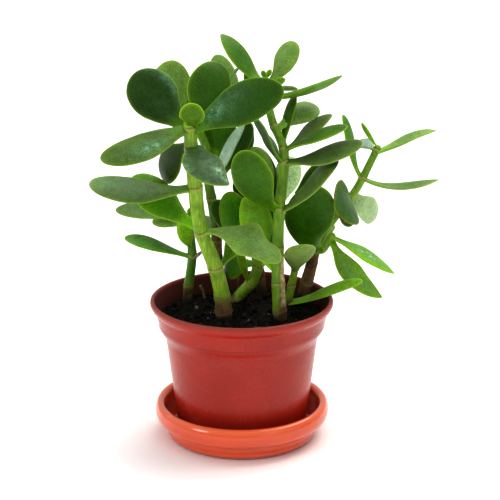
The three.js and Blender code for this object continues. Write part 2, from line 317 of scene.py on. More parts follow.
sky = bpy.data.worlds.new("studio")
sky.use_nodes = True
room = Bench(sky.node_tree)
spot = room.add("ShaderNodeTexCoord", out="Generated")
depth = room.add("ShaderNodeMapRange", {"interpolation_type": "SMOOTHSTEP"}, {
    "Value": room.add("ShaderNodeSeparateXYZ", None, {"Vector": spot}, out="Y"),
    "From Min": -0.4, "From Max": 0.9, "To Min": light["front"], "To Max": light["behind"]})
rise = room.add("ShaderNodeMapRange", None, {
    "Value": room.add("ShaderNodeSeparateXYZ", None, {"Vector": spot}, out="Z"),
    "From Min": 0.2, "From Max": 1.0, "To Min": 0.0, "To Max": light["above"]})
room.plug(sky.node_tree.nodes["Background"].inputs["Color"], (1, 1, 1))
room.plug(sky.node_tree.nodes["Background"].inputs["Strength"], depth + rise)
bpy.context.scene.world = sky
film = bpy.context.scene.view_settings
film.view_transform, film.exposure, film.gamma = "Standard", light["exposure"], light["gamma"]

for name, source, strength, spread, colour in light["suns"]:
    lamp = bpy.data.lights.new(name, "SUN")
    lamp.energy, lamp.angle, lamp.color = strength, math.radians(spread), colour
    sun = bpy.data.objects.new(name, lamp)
    bpy.context.scene.collection.objects.link(sun)
    sun.location = Vector(source).normalized() * light["distance"]
    sun.rotation_euler = (-Vector(source)).to_track_quat("-Z", "Y").to_euler()

table = {"reach": 40, "white": (0.93, 0.925, 0.92), "whiter": (0.95, 0.945, 0.94)}

tableFinish = Finish("white_table", Roughness=0.6, Specular_IOR_Level=0.2)
tableFinish.set(Base_Color=tableFinish.mix(tableFinish.cloud(6.0, 2.0), table["white"], table["whiter"]))
tableMesh = bpy.data.meshes.new("table")
corners = [(x * table["reach"], y * table["reach"], 0) for x, y in [(-1, -1), (1, -1), (1, 1), (-1, 1)]]
tableMesh.from_pydata(corners, [], [(0, 1, 2, 3)])
tableMesh.materials.append(tableFinish.material)
tableTop = bpy.data.objects.new("table", tableMesh)
bpy.context.scene.collection.objects.link(tableTop)
print("camera, light and table are set")


pot = {
    "sides": 144,
    # radius and height in millimetres: down the inside, across the floor, under it, then up the outside
    "inside": [(57.3, 93.3), (56.4, 90.6), (55, 86), (53.8, 80), (52.5, 75.4), (49.8, 70.6), (48.3, 66.2),
               (40.9, 7.9), (40, 6.9)],
    "under": [(39.6, 5.6), (40.2, 3.7)],
    "outside": [(42, 3.7), (42.3, 4.6), (49.4, 64.5), (49.75, 67.6), (51.2, 70.8), (53.6, 74.4), (54.1, 75.6),
                (54.5, 76.1), (54.9, 79.5), (56.3, 85.6), (58.8, 88.4), (60, 91), (59.6, 93.1), (58.6, 93.6)],
    "rounding": 0.5,
    "longest": 4.0,  # the longest step along the line
    "holes": 6, "holeCircle": 27, "holeRadius": 3.4,  # round the middle one
    "lip": (0.0908, 0.0926), "collarFoot": 0.0757,  # heights in metres, for the paint
    "red": (0.318, 0.018, 0.0085),
    "rim": (0.22, 0.052, 0.030),
    "dusty": (0.40, 0.070, 0.045),
    # the next colour paints the shadow line under the collar step
    "step_shadow": (0.16, 0.014, 0.008),
    # inner paints shade over the inside wall; mud is dust on it
    "inner": (0.075, 0.018, 0.012),
    "mud": (0.020, 0.014, 0.010),
}


def rounded(profile, radius, steps=3):
    # eases each corner of a (radius, height) line; the two ends stay
    line = [np.array(p, float) for p in profile]
    out = [line[0]]
    for a, b, c in zip(line, line[1:], line[2:]):
        reach = min(radius, np.linalg.norm(a - b) * 0.45, np.linalg.norm(c - b) * 0.45)
        start, end = b + unit(a - b) * reach, b + unit(c - b) * reach
        for i in range(steps + 1):
            t = i / steps
            out.append((1 - t) ** 2 * start + 2 * t * (1 - t) * b + t * t * end)
    return out + [line[-1]]


def divided(line, longest):
    # adds points where a step would be too long
    out = [line[0]]
    for a, b in zip(line, line[1:]):
        count = max(1, int(np.ceil(np.linalg.norm(b - a) / longest)))
        out += [a + (b - a) * (i + 1) / count for i in range(count)]
    return out


def turnedMesh(profile, sides):
    # spins a (radius, height) line in millimetres; points on the axis are shared
    points, rows = [], []
    for radius, height in profile:
        if radius < 1e-6:
            rows.append([len(points)] * sides)
            points.append((0, 0, height * mm))
        else:
            rows.append(list(range(len(points), len(points) + sides)))
            turn = circle(sides)
            points += list(zip(radius * mm * np.cos(turn), radius * mm * np.sin(turn), [height * mm] * sides))
    faces = []
    for low, high in zip(rows, rows[1:]):
        for s in range(sides):
            n = (s + 1) % sides
            corner = [low[s], low[n], high[n], high[s]]
            faces.append([c for i, c in enumerate(corner) if c not in corner[:i]])
    return np.array(points), [f for f in faces if len(f) > 2]


def plasticRed():
    # moulded brick-red plastic, satin and finely scratched, with a worn lip, painted shade darkening the
    # inside, and dust there
    f = Finish("pot_plastic", Roughness=0.28, Specular_IOR_Level=0.34)
    height = f.add("ShaderNodeSeparateXYZ", None, {"Vector": f.place()}, out="Z")
    blotch = f.cloud(22, 4, 0.6)
    fine = f.cloud(900, 2, 0.6, at=f.place((1, 1, 0.25)))
    lip = height.between(*pot["lip"])
    dust = f.cloud(60, 5, 0.65).between(0.5, 0.78)
    colour = f.mix(blotch.between(0.35, 0.7), pot["red"], [c * 1.18 for c in pot["red"]])
    colour = f.mix(dust * 0.30, colour, pot["dusty"])
    colour = f.mix(lip * (0.25 + 0.60 * blotch), colour, pot["rim"])
    # painted shadow: a thin dark line at the collar's foot, where the step's shadow falls
    step_shadow = (height - pot["collarFoot"]).absolute().between(0.0007, 0.0)
    colour = f.mix(step_shadow * 0.55, colour, pot["step_shadow"])
    inside = f.marked("inside")
    # painted shade: the inside wall is darkened as if in shadow; the mud mixed in after it is dust
    colour = f.mix(inside * (0.80 + 0.15 * blotch), colour, pot["inner"])
    colour = f.mix(inside * dust, colour, pot["mud"])
    f.set(Base_Color=colour, Roughness=0.23 + 0.08 * blotch + 0.08 * dust + 0.15 * lip + 0.40 * inside,
          Normal=f.bump(fine * 0.35 + f.cloud(300, 3) * 0.65, 0.06, 0.0004))
    return f


def potGeometry():
    # turned in one closed line from the middle of the underside to the middle of the floor, then drilled
    underside, floor = pot["under"][0][1], pot["inside"][-1][1]
    line = rounded(pot["under"] + pot["outside"] + pot["inside"] + [(0, floor)], pot["rounding"])
    points, faces = turnedMesh(divided([np.array((0, underside))] + line, pot["longest"]), pot["sides"])
    mesh = bpy.data.meshes.new("pot_raw")
    mesh.from_pydata(points.tolist(), [], faces)
    raw = bpy.data.objects.new("pot_raw", mesh)
    drills = bpy.data.collections.new("drills")
    bpy.context.scene.collection.objects.link(raw)
    for i in range(pot["holes"] + 1):
        turn = i * 2 * math.pi / pot["holes"]
        reach = pot["holeCircle"] * mm if i < pot["holes"] else 0
        wide = pot["holeRadius"] * mm
        work = bmesh.new()
        bmesh.ops.create_cone(work, cap_ends=True, segments=24, radius1=wide, radius2=wide, depth=8 * mm)
        bmesh.ops.translate(work, verts=work.verts,
                            vec=(reach * math.cos(turn), reach * math.sin(turn), 6.2 * mm))
        drill = bpy.data.objects.new("drill", bpy.data.meshes.new("drill"))
        work.to_mesh(drill.data)
        work.free()
        drills.objects.link(drill)
    cut = raw.modifiers.new("holes", "BOOLEAN")
    cut.operation, cut.solver, cut.operand_type, cut.collection = "DIFFERENCE", "EXACT", "COLLECTION", drills
    bpy.context.view_layer.update()
    baked = bpy.data.meshes.new_from_object(raw.evaluated_get(bpy.context.evaluated_depsgraph_get()))
    for one in list(drills.objects) + [raw]:
        bpy.data.objects.remove(one)
    bpy.data.collections.remove(drills)
    points = np.array([v.co[:] for v in baked.vertices])
    faces = [tuple(p.vertices) for p in baked.polygons]
    bpy.data.meshes.remove(baked)
    return points, faces


points, faces = potGeometry()
across, height = np.hypot(points[:, 0], points[:, 1]) / mm, points[:, 2] / mm
wallRadius, wallHeight = np.array(pot["inside"][::-1]).T
inside = (across < np.interp(height, wallHeight, wallRadius) + 0.3) & (height > 6.5) & (height < 92.6)
makePiece("nursery_pot", points, faces, plasticRed(), {"inside": inside}, replaces=["pot"])

saucer = {
    "sides": 160,
    "outside": [(0, 0), (46.4, 0), (48.6, 0.7), (50.0, 2.3), (49.3, 4.1), (50.6, 5.8), (51.0, 7.8),
                (50.3, 9.4)],
    "bead": (54.1, 17.3, 3.7, 6.2),  # its middle's radius and height, half its width, half its height
    "inside": [(50.2, 12.6), (49.9, 9), (48.7, 4.8), (47.6, 3.4), (0, 3.4)],
    "red": (0.72, 0.082, 0.014),
    # the next colour paints the highlight on the top of the roll
    "pale": (0.87, 0.21, 0.060),
    # the next colour paints shade on the saucer's foot near the table
    "foot": (0.32, 0.04, 0.015),
    "longest": 3.5,
}


def saucerGeometry():
    radius, height, wide, tall = saucer["bead"]
    turns = np.radians(np.linspace(-70, 180, 25))  # from under the roll, over it, to the inside
    bead = [(radius + wide * math.cos(turn), height + tall * math.sin(turn)) for turn in turns]
    line = rounded(saucer["outside"], 1.2) + bead
    line += rounded([bead[-1]] + saucer["inside"], 0.9)[1:]
    return turnedMesh(divided([np.array(p, float) for p in line], saucer["longest"]), saucer["sides"])


def glazedRed():
    # the saucer: glossy orange-red, with the top of the roll painted paler as a highlight and the foot
    # painted darker as shade
    f = Finish("saucer_glaze", Roughness=0.20, Coat_Weight=0.7, Coat_Roughness=0.07, Specular_IOR_Level=0.4)
    height = f.add("ShaderNodeSeparateXYZ", None, {"Vector": f.place()}, out="Z")
    blotch = f.cloud(28, 4, 0.6)
    roll = height.between(0.019, 0.0235)
    dust = f.cloud(75, 5, 0.7).between(0.52, 0.8)
    colour = f.mix(blotch.between(0.3, 0.72), saucer["red"], [c * 0.86 for c in saucer["red"]])
    # painted highlight on the top of the roll, with a few pale dust flecks in the same colour
    colour = f.mix(roll * 0.45 + dust * 0.05, colour, saucer["pale"])
    # painted shade: the foot darkens towards the table
    colour = f.mix(height.between(0.004, 0.0005) * 0.5, colour, saucer["foot"])
    ripple = f.cloud(1.0, 2, 0.4, at=f.place((16, 16, 190)))
    f.set(Base_Color=colour, Roughness=0.16 + 0.10 * blotch + 0.06 * dust,
          Normal=f.bump(ripple, 0.10, 0.0016, f.bump(f.cloud(700, 2), 0.02, 0.0003)))
    return f


points, faces = saucerGeometry()
makePiece("glazed_saucer", points, faces, glazedRed(), replaces=["saucer"])
print("pot and saucer are turned")


soil = {
    "top": 82.0, "crown": 1.6, "edge": 53.4, "rings": 58, "sectors": 220,
    "lumps": 1.5,  # how rough the surface is, in millimetres
    "crumbs": 620, "smallest": 0.5, "largest": 2.2,
    "perlite": 7,  # how many of the crumbs are pale
    # radius and height in millimetres, down the side to the flat bottom
    "side": [(53.5, 80.6), (52.3, 75.6), (49.5, 70.6), (48, 66.2), (40.6, 8.2), (39.6, 7.2)],
    "black": (0.0020, 0.0018, 0.0016),
    "brown": (0.012, 0.009, 0.0065),
    "fleck": (0.040, 0.026, 0.016),
    "pale": (0.20, 0.17, 0.13),
}


def soilBlack():
    # near-black mix with brown grains, bark flecks and a few pale crumbs
    f = Finish("potting_mix", Roughness=0.95, Specular_IOR_Level=0.1)
    grain = f.cells(700)
    patch = f.cloud(120, 5, 0.65)
    fleck = f.cells(420, out="Color")
    pick = f.add("ShaderNodeSeparateColor", None, {"Color": fleck}, out="Red")
    colour = f.mix(patch.between(0.35, 0.7), soil["black"], soil["brown"])
    colour = f.mix(pick.between(0.9, 0.97) * 0.7, colour, soil["fleck"])
    colour = f.mix(f.marked("pale"), colour, soil["pale"])
    f.set(Base_Color=colour, Roughness=0.82 + 0.16 * patch,
          Normal=f.bump(grain * 0.6 + patch * 0.6, 0.9, 0.0009))
    return f


def crumb(rng, size):
    work = bmesh.new()
    bmesh.ops.create_icosphere(work, subdivisions=2 if size > 1.3 * mm else 1, radius=1)
    points = np.array([v.co[:] for v in work.verts])
    faces = [tuple(v.index for v in f.verts) for f in work.faces]
    work.free()
    points *= 1 + 0.34 * bumpy(points, 0.9, rng.uniform(0, 50), 2)[:, None]
    return points * rng.uniform(0.6, 1.15, 3) * size, faces


def soilHeight(x, y):
    # a low lumpy mound that is flatter against the pot
    crown = soil["crown"]
    radius = np.hypot(x, y) / mm
    base = soil["top"] * mm + np.interp(radius, [0, 30, 50, 54], [crown, crown * 0.7, 0, -0.8]) * mm
    spots = np.stack([x, y, 0 * x], 1)
    rough = bumpy(spots, 0.009, 3.1, 4) * 0.9 + bumpy(spots, 0.0032, 8.4, 3) * 0.7
    fade = 1 - 0.7 * smooth(50, 53.5, radius)
    return base + rough * soil["lumps"] * mm * fade


def buildSoil():
    rng = np.random.default_rng(11)
    heap = Heap()
    radii = np.linspace(0.6, soil["edge"], soil["rings"]) * mm
    turn = circle(soil["sectors"])
    x = (radii[:, None] * np.cos(turn)).ravel()
    y = (radii[:, None] * np.sin(turn)).ravel()
    top = np.stack([x, y, soilHeight(x, y)], 1)
    walls = []
    for radius, height in soil["side"]:
        ring = [radius * np.cos(turn), radius * np.sin(turn), np.full(len(turn), height)]
        walls.append(np.stack(ring, 1) * mm)
    points = np.concatenate([top] + walls + [[(0, 0, top[0, 2]), (0, 0, soil["side"][-1][1] * mm)]])
    faces = [f[::-1] for f in tubeFaces(soil["rings"] + len(walls), soil["sectors"])]
    heap.put(points, faces, {"pale": 0.0})
    for i in range(soil["crumbs"]):
        radius = (soil["edge"] - 1.9) * math.sqrt(rng.uniform()) * mm
        angle = rng.uniform(0, 2 * math.pi)
        size = (soil["smallest"] + (soil["largest"] - soil["smallest"]) * rng.uniform() ** 3) * mm
        lump, sides = crumb(rng, size)
        px, py = radius * math.cos(angle), radius * math.sin(angle)
        pz = soilHeight(np.array([px]), np.array([py]))[0]
        heap.put(lump + (px, py, pz + size * 0.3), sides, {"pale": 0.75 if i < soil["perlite"] else 0.0})
    heap.make("potting_mix", soilBlack(), "soil", replaces=["soil"])


buildSoil()
print("the pot is filled")


stem = {
    "sides": 28, "step": 0.8,
    "ridge": 0.10,  # how far a joint swells, as a share of the radius
    # for each: height in metres where brown turns to green, how sharply, and how far round the brown climbs
    "courses": {
        "stem_front_left": (0.0965, 0.004, 0.0), "stem_centre": (0.091, 0.006, 0.034),
        "stem_right": (0.119, 0.006, 0.0), "branch_right_low": (0.0, 0.001, 0.0),
        "stem_left": (0.0925, 0.005, 0.0), "stem_back_left": (0.135, 0.030, 0.012),
        "shoot_middle": (0.087, 0.004, 0.0), "shoot_right": (0.0855, 0.004, 0.0),
        "stem_back": (0.125, 0.02, 0.01),
    },
    # how far each one's green is towards the deep green; the rest stay fresh
    "deepened": {"stem_centre": 0.35, "stem_right": 0.30, "stem_left": 0.75, "stem_back": 0.3,
                 "stem_back_left": 0.5, "shoot_right": 0.1},
    "buried": {"branch_right_low": (0.0502, 0.0272, 0.1175)},  # a start inside the stem that carries it
    "barked": ["stem_right", "stem_back_left"],  # listed, but nothing in the script reads this list
    "fresh": [(0.165, 0.315, 0.013), (0.330, 0.500, 0.045)],
    "blotch": (0.085, 0.215, 0.010),
    "deep": (0.050, 0.170, 0.012),
    "dots": (0.40, 0.50, 0.14),
    "cork": [(0.068, 0.034, 0.014), (0.240, 0.135, 0.055)],
    "crack": (0.018, 0.013, 0.007),
    "damp": (0.020, 0.014, 0.008),
    "tan": [(0.290, 0.215, 0.095), (0.560, 0.490, 0.230)],
    "joint": (0.40, 0.36, 0.11),
    "scar": (0.20, 0.115, 0.045),
    "seam": (0.070, 0.060, 0.014),
}


def stemSkin():
    # fresh stem: yellow-green and streaked, a pale scar at each joint, corky and brown towards the soil
    f = Finish("jade_stem", Roughness=0.42, Specular_IOR_Level=0.25, Subsurface_Weight=0.10,
               Subsurface_Radius=(0.004, 0.006, 0.001), Subsurface_Scale=1.0)
    bark, joint, deep = f.marked("bark"), f.marked("joint"), f.marked("deep")
    streak = f.cloud(1.0, 4, 0.6, at=f.place((900, 900, 90)))
    blotch = f.cloud(110, 4, 0.6)
    green = f.mix(streak.between(0.3, 0.7), *stem["fresh"])
    green = f.mix(blotch.between(0.42, 0.70) * 0.6, green, stem["blotch"])
    green = f.mix(deep, green, stem["deep"])
    dots = f.cells(520).between(0.20, 0.08) * f.cloud(160, 2).between(0.45, 0.6)
    green = f.mix(dots * 0.35, green, stem["dots"])
    cork = f.mix(blotch.between(0.3, 0.7), *stem["cork"])
    cork = f.mix(streak.between(0.5, 0.75) * 0.6, cork, stem["crack"])
    cork = f.mix(f.marked("damp"), cork, stem["damp"])
    tan = f.mix(f.cloud(330, 4, 0.7).between(0.38, 0.62), *stem["tan"])
    cork = f.mix(f.marked("tan"), cork, tan)
    colour = f.mix(bark, green, cork)
    colour = f.mix(joint * (1 - bark * 0.6), colour, stem["joint"])
    colour = f.mix(f.marked("scar") * (0.6 + 0.4 * blotch), colour, stem["scar"])
    colour = f.mix(f.marked("seam") * 0.9, colour, stem["seam"])
    f.set(Base_Color=colour, Roughness=0.36 + 0.10 * blotch + 0.42 * bark,
          Normal=f.bump(streak * (0.35 + bark) + blotch * bark, 0.35, 0.0006))
    return f


def lineOf(node):
    # a CAD stem's middle line, how far along and how thick it is, and where its joints are
    first, rings, last = ringsOf(node, lambda p: p[2])
    middle = rings.mean(1)
    radius = np.linalg.norm(rings - middle[:, None], axis=2).mean(1)
    joints = list(range(2, len(rings) - 1, 2))
    radius[joints] /= 1.1  # the CAD swells its joints by a tenth
    line = np.concatenate([[first], middle, [last]])
    radius = np.concatenate([[radius[0]], radius, [radius[-1] * 0.9]])
    if node in stem["buried"]:
        line = np.concatenate([[stem["buried"][node]], line[1:]])
        joints = []
    length = lengthAlong(line)
    return {"line": line, "length": length, "radius": radius, "joints": [length[j + 1] for j in joints]}


def buildStem(node, finish):
    # rings carried up the stem's line, with swollen joints, shallow flutes and rough bark
    rng = np.random.default_rng(sum(map(ord, node)))
    s = lineOf(node)
    total = s["length"][-1]
    count = int(total / (stem["step"] * mm))
    at = np.linspace(0, total, count)
    middle = through(s["length"], s["line"], at)
    radius = np.interp(at, s["length"], s["radius"])
    heading = unit(np.gradient(middle, axis=0))
    side = np.empty_like(middle)
    arm = np.array([1.0, 0, 0])
    for k in range(count):
        arm = unit(arm - heading[k] * (arm @ heading[k]))
        side[k] = arm
    other = np.cross(heading, side)
    turn = circle(stem["sides"])
    grid = np.broadcast_to(radius[:, None], (count, stem["sides"])).copy()
    joint, seam, scar = np.zeros_like(grid), np.zeros_like(grid), np.zeros_like(grid)
    height, sharp, climb = stem["courses"][node]
    for j, place in enumerate(s["joints"]):
        wave = 0.55 * np.cos(2 * turn + rng.uniform(0, 6)) + 0.25 * np.cos(3 * turn + rng.uniform(0, 6))
        gap = at[:, None] - place - (wave * mm)[None]
        grid *= 1 + stem["ridge"] * np.exp(-(gap / (2.6 * mm)) ** 2) * rng.uniform(0.7, 1.2)
        grid -= 0.16 * mm * np.exp(-((gap - 0.9 * mm) / (0.45 * mm)) ** 2)
        grid += 0.12 * mm * np.exp(-((gap + 0.2 * mm) / (0.6 * mm)) ** 2)
        seam = np.maximum(seam, np.exp(-((gap - 0.9 * mm) / (0.38 * mm)) ** 2) * rng.uniform(0.75, 1))
        joint = np.maximum(joint, np.exp(-((gap + 0.2 * mm) / (0.9 * mm)) ** 2) * rng.uniform(0.5, 0.95))
        old = math.exp(-((np.interp(place, s["length"], s["line"][:, 2]) - height) / 0.007) ** 2)
        scar = np.maximum(scar, np.exp(-((gap + 0.4 * mm) / (1.1 * mm)) ** 2) * old)
    ring = ringRound(side, other, turn)
    flute = 0.10 * np.cos(5 * turn + rng.uniform(0, 6)) + 0.08 * np.cos(3 * turn + 1)
    grid += flute[None] * mm * (0.6 + 0.4 * np.sin(at[:, None] / 0.011 + rng.uniform(0, 6)))
    spots = spotsRound(middle, ring, grid)
    wander = bumpy(spots, 0.006, 4.0, 3).reshape(grid.shape)
    toward = ring[..., 0] * 0.85 + ring[..., 1] * -0.35  # the side that the corky stripe runs up
    limit = height + climb * smooth(0.25, 0.75, toward)
    bark = 1 - smooth(-sharp, sharp, middle[:, None, 2] + wander * sharp * 0.9 - limit)
    grid += bark * bumpy(spots, 0.0022, 9.0, 3).reshape(grid.shape) * 0.22 * mm
    end = at[:, None] / total
    grid *= 1 - smooth(0.985, 1.0, end) * 0.35
    spots = spotsRound(middle, ring, grid)
    points = np.concatenate([spots, [s["line"][0], s["line"][-1] + heading[-1] * 0.4 * mm]])
    stripe = smooth(0.35, 0.8, toward) * smooth(0.0915, 0.095, middle[:, None, 2])
    marks = {"bark": bark, "joint": joint, "seam": seam, "scar": scar,
             "damp": bark * (1 - smooth(0.082, 0.094, middle[:, None, 2] + wander * 0.004)),
             "tan": bark * stripe * (climb > 0.02),
             "deep": np.full_like(grid, stem["deepened"].get(node, 0.0))}
    marks = {key: np.concatenate([v.ravel(), [v[0, 0], v[-1, 0]]]) for key, v in marks.items()}
    makePiece("jade_" + node, points, tubeFaces(count, stem["sides"]), finish, marks, replaces=[node])
    return s


stemFinish = stemSkin()
stemLines = [buildStem(node, stemFinish) for node in stem["courses"]]
print("stems are grown")


leaf = {
    "rings": 38, "sides": 28,
    "root": 3.2,  # how far, in millimetres, its foot runs into the stem
    "edge": 0.68,  # the section's power: 0.5 is an ellipse, 1 a lens with sharp margins
    "wander": 0.014,  # how unevenly the margins run, as a share of the half width
    "growth": (0.130, 0.310, 0.006),
    # the first colour is the waxy film's and paints silvery sheen; the second paints the highlight where that
    # sheen is strongest
    "bloom": (0.135, 0.310, 0.165),
    "painted_shine": (0.520, 0.680, 0.440),
    "red": (0.200, 0.030, 0.022),
    # each tone: the upper side, the underside and the margin
    "tones": {
        "dark": {"top": (0.017, 0.062, 0.002), "under": (0.070, 0.150, 0.014), "margin": (0.17, 0.36, 0.02)},
        "deep": {"top": (0.031, 0.106, 0.002), "under": (0.085, 0.180, 0.012), "margin": (0.22, 0.46, 0.015)},
        "bright": {"top": (0.105, 0.240, 0.008), "under": (0.14, 0.29, 0.016), "margin": (0.30, 0.56, 0.02)},
        "grey": {"top": (0.100, 0.182, 0.034), "under": (0.130, 0.200, 0.046), "margin": (0.26, 0.40, 0.06)},
        "teal": {"top": (0.028, 0.096, 0.016), "under": (0.080, 0.165, 0.045), "margin": (0.20, 0.42, 0.07)},
        # this tone is whitish-teal: it paints a silvery sheen of light over the whole leaf
        "silver_sheen": {"top": (0.200, 0.285, 0.225), "under": (0.23, 0.32, 0.25), "margin": (0.34, 0.46, 0.24)},
        # this tone is partly the leaves' own pale green and partly a painted glow of light shining through
        # them
        "pale": {"top": (0.335, 0.480, 0.225), "under": (0.360, 0.510, 0.250), "margin": (0.44, 0.58, 0.24)},
    },
    # for each leaf: its tone, how light it is, and what else is its own: a waxy film with painted sheen all
    # over, the strength of its pale margin, red in the margin, new growth, a folded margin, and spots of
    # painted silvery sheen (how far along, how far across, their length and width as shares of the leaf, and
    # strength)
    "looks": {
        "leaf_front_left_1": ("bright", 0.74, {}),
        "leaf_front_left_2": ("grey", 1.38, {"rim": 1.2, "fold": 0.22,
                                             "sheen_patches": [(0.65, -0.2, 0.25, 0.5, 0.25)]}),
        "leaf_front_left_3": ("deep", 2.04, {"rim": 1.2}),
        "leaf_front_left_4": ("grey", 1.03, {"bloom": 0.25, "sheen_patches": [(0.75, -0.2, 0.25, 0.6, 0.3)]}),
        "leaf_front_left_5": ("deep", 0.42, {}),
        "leaf_front_left_6": ("grey", 0.41, {"bloom": 0.35, "sheen_patches": [
            (0.8, 0.4, 0.35, 0.5, 0.9), (0.3, -0.9, 0.5, 0.25, 0.7)]}),
        "leaf_front_left_7": ("grey", 0.66, {"fresh": 0.25, "sheen_patches": [
            (0.42, 0.35, 0.20, 0.45, 1.15), (0.8, 0.3, 0.3, 0.4, 0.2)]}),
        "leaf_front_left_8": ("dark", 1.22, {"sheen_patches": [
            (0.16, 0.25, 0.22, 0.6, 1.15), (0.42, 0.50, 0.2, 0.3, 0.5)]}),
        "leaf_front_left_9": ("dark", 0.75, {"sheen_patches": [
            (0.60, -0.90, 0.40, 0.22, 0.9), (0.30, 0.1, 0.25, 0.4, 0.15)]}),
        "leaf_front_left_10": ("deep", 0.98, {"rim": 1.2}),
        "leaf_front_left_11": ("bright", 0.65, {"rim": 1.4}),
        "leaf_centre_1": ("bright", 1.50, {"sheen_patches": [(0.5, 0.0, 0.3, 0.5, 0.15)]}),
        "leaf_centre_2": ("deep", 0.90, {"rim": 1.2, "fresh": 0.15}),
        "leaf_centre_3": ("grey", 0.82, {}),
        "leaf_centre_4": ("grey", 1.72, {}),
        "leaf_centre_5": ("pale", 1.80, {}),
        "leaf_centre_6": ("grey", 0.69, {"bloom": 0.1}),
        "leaf_centre_7": ("teal", 0.82, {"sheen_patches": [(0.6, 0.0, 0.5, 0.4, 1.1)]}),
        "leaf_centre_8": ("grey", 0.93, {}),
        "leaf_centre_9": ("deep", 0.86, {"fresh": 0.2}),
        "leaf_centre_10": ("grey", 1.80, {"bloom": 0.2}),
        "leaf_centre_11": ("dark", 2.01, {"bloom": 0.2}),
        "leaf_centre_12": ("deep", 1.39, {}),
        "leaf_centre_13": ("grey", 1.51, {"sheen_patches": [(0.7, 0.5, 0.3, 0.5, 0.4)]}),
        "leaf_right_1": ("deep", 1.15, {"rim": 1.1}),
        "leaf_right_2": ("bright", 1.0, {}),
        "leaf_right_3": ("deep", 0.86, {"red": 1.0, "bloom": 0.1}),
        "leaf_right_4": ("pale", 1.00, {}),
        "leaf_right_5": ("grey", 1.65, {"bloom": 0.2}),
        "leaf_right_6": ("deep", 1.76, {}),
        "leaf_right_7": ("silver_sheen", 1.20, {}),
        "leaf_right_8": ("grey", 1.90, {"bloom": 0.2}),
        "leaf_right_low_1": ("bright", 1.08, {"sheen_patches": [(0.6, -0.4, 0.3, 0.3, 0.35)]}),
        "leaf_right_low_2": ("bright", 1.75, {"sheen_patches": [(0.50, 0.0, 0.45, 0.55, 1.5)]}),
        "leaf_left_1": ("deep", 1.85, {"bloom": 0.2}),
        "leaf_left_2": ("bright", 1.80, {}),
        "leaf_left_3": ("grey", 2.24, {}),
        "leaf_left_4": ("grey", 1.06, {"bloom": 0.3}),
        "leaf_back_left_1": ("silver_sheen", 1.95, {}),
        "leaf_back_left_2": ("dark", 1.92, {"fresh": 0.1}),
        "leaf_back_left_3": ("pale", 0.6, {}),
        "leaf_back_left_4": ("teal", 1.54, {"bloom": 0.5}),
        "leaf_back_left_5": ("grey", 1.84, {}),
        "leaf_middle_1": ("deep", 1.64, {}),
        "leaf_middle_2": ("deep", 2.30, {"red": 0.5}),
        "leaf_right_shoot_1": ("bright", 1.70, {"bloom": 0.15}),
        "leaf_right_shoot_2": ("grey", 1.60, {"rim": 0.8}),
        "leaf_back_1": ("grey", 1.44, {"bloom": 0.4}),
    },
}


def leafSkin(tone, colours):
    # waxy skin: mottled, with a thin paler margin, and a silvery waxy film with painted sheen and painted
    # highlights lying in spots
    f = Finish("jade_leaf_" + tone, Roughness=0.38, Specular_IOR_Level=0.16, Subsurface_Weight=0.05,
               Subsurface_Radius=(0.003, 0.006, 0.001))
    rim, upper, along, edge = f.marked("rim"), f.marked("upper"), f.marked("along"), f.marked("edge")
    spot = f.place()
    large = f.cloud(42, 3, 0.5, at=spot)
    middle = f.cloud(240, 4, 0.65, at=spot)
    fine = f.cloud(1250, 3, 0.7, at=spot)
    face = upper.between(-0.25, 0.25)
    colour = f.mix(face, colours["under"], colours["top"])
    red, green, blue = colours["top"]
    yellower = (red + min(red * 1.1, 0.04), green + min(green * 0.35, 0.05), blue)
    colour = f.mix(rim.between(0.0075, 0.0005) * 0.55 * face, colour, yellower)
    colour = f.mix(f.marked("fresh") + along.between(0.24, 0.02) * 0.5, colour, leaf["growth"])
    tint = 0.80 + 0.28 * large.between(0.36, 0.64) + 0.75 * (middle - 0.5) + 1.9 * (fine - 0.5)
    colour = f.mix(1.0, colour, f.marked("shade") * tint, "MULTIPLY")
    # painted sheen: the waxy film and its silvery spots on the upper side; where strongest it becomes a
    # painted highlight
    silver_sheen = f.marked("bloom") * (0.25 + 0.75 * (0.5 * middle + 0.5 * fine).between(0.42, 0.60)) * face
    colour = f.mix(silver_sheen * 0.65, colour, leaf["bloom"])
    colour = f.mix(silver_sheen.between(0.75, 1.5), colour, leaf["painted_shine"])
    pores = f.cells(1000, at=spot).between(0.20, 0.08) * middle.between(0.42, 0.58)
    colour = f.mix(pores * 0.22, colour, [0.08 + 0.6 * c for c in colours["margin"]])
    colour = f.mix(rim.between(0.0024, 0.0004) * 0.16 * edge, colour, colours["margin"])
    colour = f.mix(rim.between(0.00070, 0.00022) * (0.45 + 0.5 * middle) * edge, colour, colours["margin"])
    redness = rim.between(0.0013, 0.0003) * f.marked("red") * middle.between(0.40, 0.55)
    colour = f.mix(redness, colour, leaf["red"])
    f.set(Base_Color=colour, Roughness=0.33 + 0.12 * middle + 0.12 * silver_sheen + 0.10 * (1 - face),
          Normal=f.bump(fine * 0.9 + middle * 1.2 - pores * 0.3, 0.30, 0.0005))
    return f


def stemGap(point):
    # how far a point is from the nearest stem's middle line
    gaps = []
    for s in stemLines:
        at = np.linspace(0, s["length"][-1], 200)
        line = np.stack([np.interp(at, s["length"], s["line"][:, k]) for k in range(3)], 1)
        gaps.append(np.linalg.norm(line - point, axis=1).min())
    return min(gaps)


